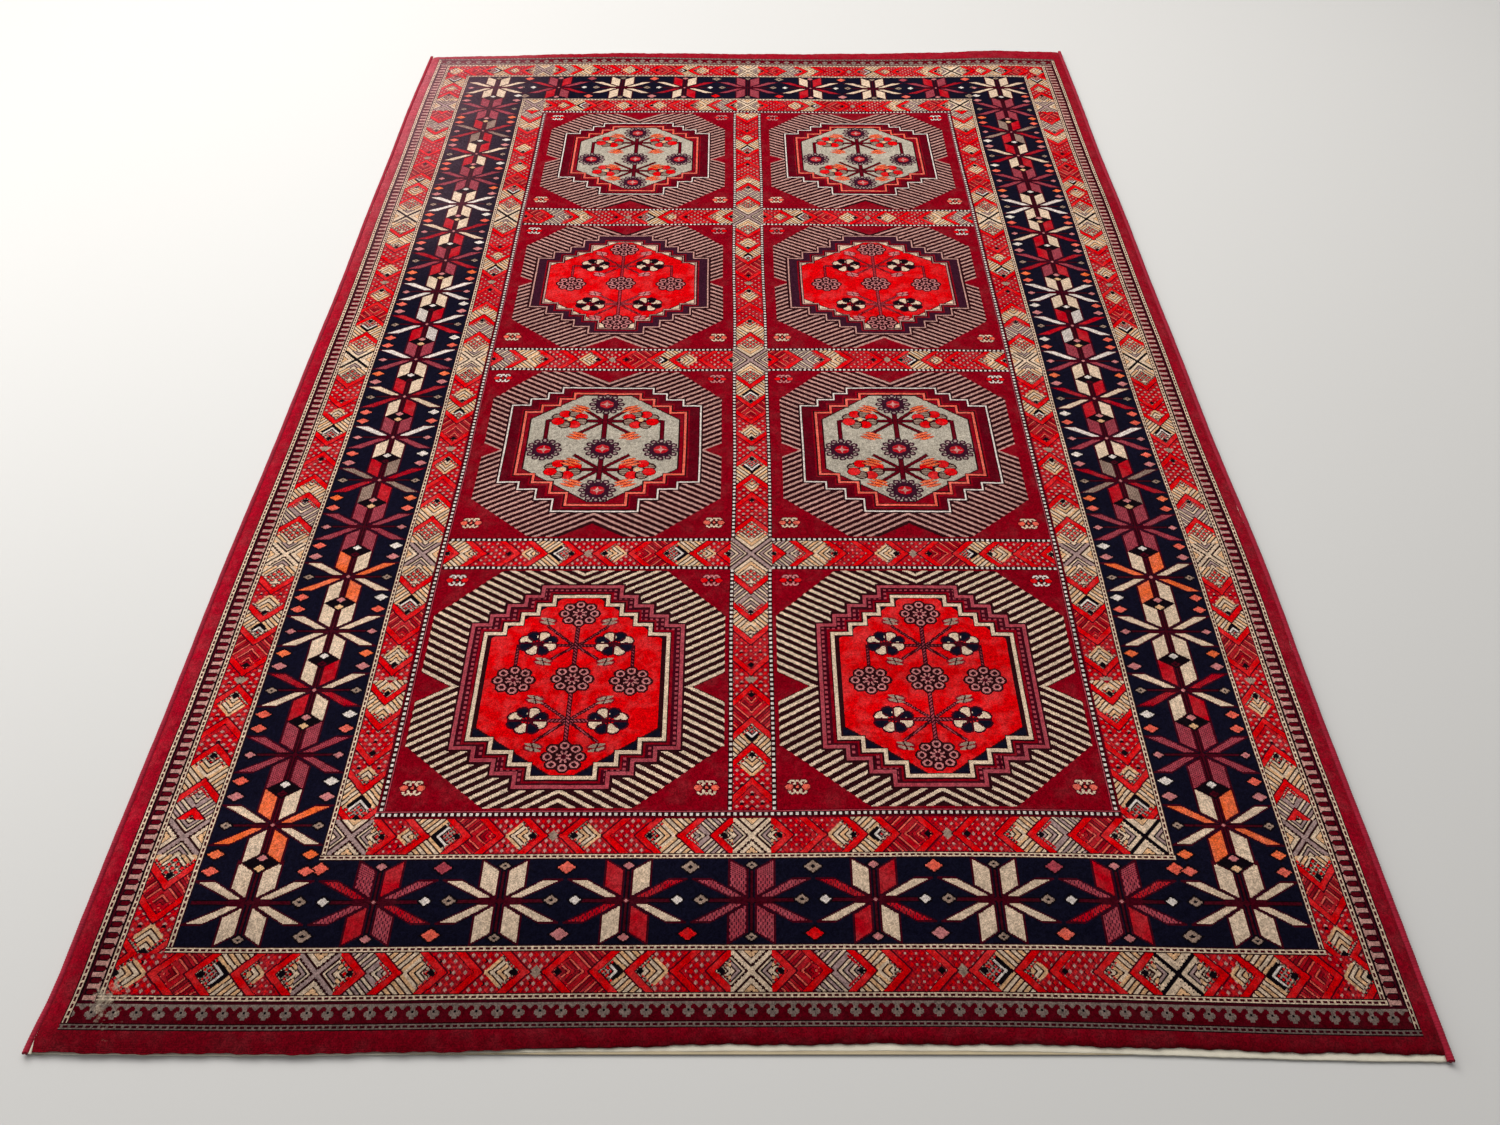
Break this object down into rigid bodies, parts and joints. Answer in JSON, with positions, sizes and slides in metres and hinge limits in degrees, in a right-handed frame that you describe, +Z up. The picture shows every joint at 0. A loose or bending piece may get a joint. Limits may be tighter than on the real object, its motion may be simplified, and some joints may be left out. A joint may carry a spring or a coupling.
{
  "type": "area rug",
  "caption": "Rectangular machine-woven wool rug with octagonal gul panels in a lattice, star and chevron borders, overcast sides and taped ends.",
  "frame": {"origin": "middle of the underside, on the floor", "axes": "+X runs across the rug's width, +Y along its length from the near end to the far end, +Z up from the floor"},
  "size_m": [2, 3, 0.011],
  "materials": {
    "patterned_pile": "cut wool pile, matt with a soft sheen",
    "crimson_pile": "cut wool pile, matt with a soft sheen",
    "overcast_yarn": "wound wool yarn",
    "hem_tape": "plain woven cotton",
    "hem_thread": "polished cotton thread",
    "filler_cord": "twisted cord",
    "ground_yarn": "spun jute and cotton",
    "size_coat": "woven back with a dull size coat"
  },
  "bodies": {
    "root": {"back_size_coat": "size_coat", "ground_weft_lower": "ground_yarn", "stuffer_warps": "ground_yarn", "ground_weft_upper": "ground_yarn", "side_cord_left": "filler_cord", "side_cord_right": "filler_cord", "side_overcast_left": "overcast_yarn", "side_overcast_right": "overcast_yarn", "hem_tape_near": "hem_tape", "hem_tape_far": "hem_tape", "hem_stitches_near": "hem_thread", "hem_stitches_far": "hem_thread", "edge_band_near": "crimson_pile", "edge_band_far": "crimson_pile", "edge_band_left": "crimson_pile", "edge_band_right": "crimson_pile", "tooth_guard_near": "patterned_pile", "tooth_guard_far": "patterned_pile", "tooth_guard_left": "patterned_pile", "tooth_guard_right": "patterned_pile", "outer_chevron_near": "patterned_pile", "outer_chevron_far": "patterned_pile", "outer_chevron_left": "patterned_pile", "outer_chevron_right": "patterned_pile", "star_border_near": "patterned_pile", "star_border_far": "patterned_pile", "star_border_left": "patterned_pile", "star_border_right": "patterned_pile", "inner_chevron_near": "patterned_pile", "inner_chevron_far": "patterned_pile", "inner_chevron_left": "patterned_pile", "inner_chevron_right": "patterned_pile", "lattice_post": "patterned_pile", "lattice_bar_1_left": "patterned_pile", "lattice_bar_1_right": "patterned_pile", "lattice_bar_2_left": "patterned_pile", "lattice_bar_2_right": "patterned_pile", "lattice_bar_3_left": "patterned_pile", "lattice_bar_3_right": "patterned_pile", "gul_panel_1": "patterned_pile", "gul_panel_2": "patterned_pile", "gul_panel_3": "patterned_pile", "gul_panel_4": "patterned_pile", "gul_panel_5": "patterned_pile", "gul_panel_6": "patterned_pile", "gul_panel_7": "patterned_pile", "gul_panel_8": "patterned_pile"}
  },
  "joints": []
}
